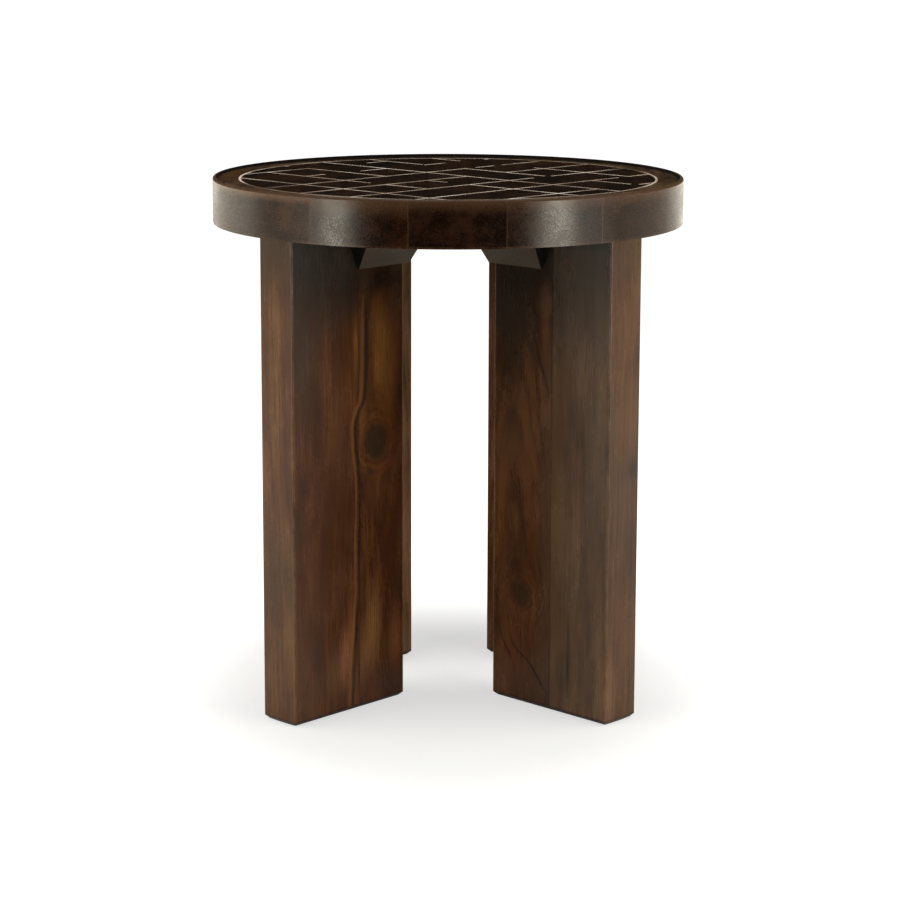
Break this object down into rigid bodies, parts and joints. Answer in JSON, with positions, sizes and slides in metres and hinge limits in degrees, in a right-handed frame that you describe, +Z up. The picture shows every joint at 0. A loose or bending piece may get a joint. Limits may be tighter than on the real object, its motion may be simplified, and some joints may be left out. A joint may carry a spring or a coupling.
{
  "type": "side table",
  "caption": "Round side table with a pale lattice inlaid in a thick dark wood top, on radial plank legs set flush with the rim and braced by corner blocks.",
  "frame": {"origin": "on the floor, under the centre of the round top", "axes": "+Z up; -Y is the front that the picture shows; +X is to the right seen from the front"},
  "size_m": [0.508, 0.508, 0.5588],
  "materials": {
    "top_wood": "dark brown stain, satin lacquer",
    "leg_wood": "dark brown stain, satin lacquer",
    "block_wood": "dark brown stain, satin lacquer",
    "dowel_wood": "bare pale wood",
    "inlay_pale": "bone-coloured inlay, rubbed flush under satin lacquer"
  },
  "bodies": {
    "root": {"corner_block_back_left_left": "block_wood", "corner_block_back_left_right": "block_wood", "corner_block_back_right_left": "block_wood", "corner_block_back_right_right": "block_wood", "corner_block_front_left_left": "block_wood", "corner_block_front_left_right": "block_wood", "corner_block_front_right_left": "block_wood", "corner_block_front_right_right": "block_wood", "inlay_falling_line_1": "inlay_pale", "inlay_falling_line_2": "inlay_pale", "inlay_falling_line_3": "inlay_pale", "inlay_falling_line_4": "inlay_pale", "inlay_falling_line_5": "inlay_pale", "inlay_falling_line_6": "inlay_pale", "inlay_ring": "inlay_pale", "inlay_rising_line_1": "inlay_pale", "inlay_rising_line_2": "inlay_pale", "inlay_rising_line_3": "inlay_pale", "inlay_rising_line_4": "inlay_pale", "inlay_rising_line_5": "inlay_pale", "inlay_rising_line_6": "inlay_pale", "inlay_rising_line_7": "inlay_pale", "leg_back_left_inner_board": "leg_wood", "leg_back_left_outer_board": "leg_wood", "leg_back_right_inner_board": "leg_wood", "leg_back_right_outer_board": "leg_wood", "leg_dowels": "dowel_wood", "leg_front_left_inner_board": "leg_wood", "leg_front_left_outer_board": "leg_wood", "leg_front_right_inner_board": "leg_wood", "leg_front_right_outer_board": "leg_wood", "top_board_1": "top_wood", "top_board_2": "top_wood", "top_board_3": "top_wood", "top_board_4": "top_wood", "top_board_5": "top_wood", "top_lip": "top_wood"}
  },
  "joints": []
}
